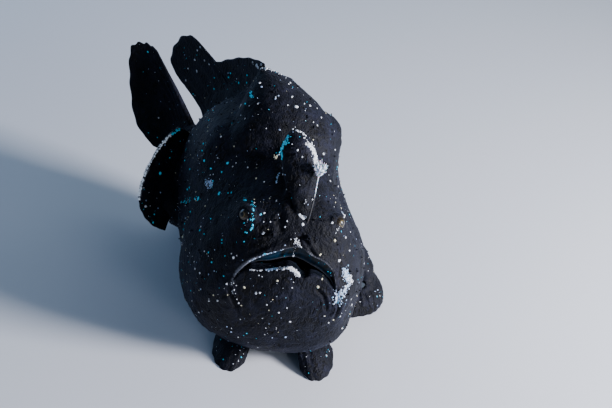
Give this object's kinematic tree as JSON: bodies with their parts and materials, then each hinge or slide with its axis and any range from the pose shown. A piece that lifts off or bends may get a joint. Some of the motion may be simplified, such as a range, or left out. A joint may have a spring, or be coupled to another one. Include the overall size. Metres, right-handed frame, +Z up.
{
  "type": "frogfish",
  "caption": "Still life-size model of a black giant frogfish resting on its belly, with rayed fins, raised lure and upturned mouth.",
  "frame": {"origin": "on the floor under the middle of the object's box", "axes": "+Z up; the snout faces -Y; the fish's left side is towards +X and its body curves to its right, towards -X"},
  "size_m": [0.196, 0.2124, 0.1559],
  "materials": {
    "skin": "near-black velvety skin with fine wrinkles, warts and tiny pale specks",
    "fin_membrane": "near-black ray and membrane, pale at the ray tips",
    "eye": "wet dark eye with a fine ringed iris",
    "lure": "dark rod with a ragged grey and white tip"
  },
  "bodies": {
    "root": {"head": "skin", "lower_jaw": "skin", "torso": "skin", "tail": "skin", "eye_left": "eye", "eye_right": "eye", "second_dorsal_spine": "skin", "third_dorsal_spine": "skin", "illicium": "lure", "esca": "lure", "soft_dorsal_fin": "fin_membrane", "anal_fin": "fin_membrane", "caudal_fin": "fin_membrane", "pectoral_arm_left": "skin", "pectoral_arm_right": "skin", "pectoral_fin_left": "fin_membrane", "pectoral_fin_right": "fin_membrane", "pelvic_fin_left": "fin_membrane", "pelvic_fin_right": "fin_membrane"}
  },
  "joints": []
}
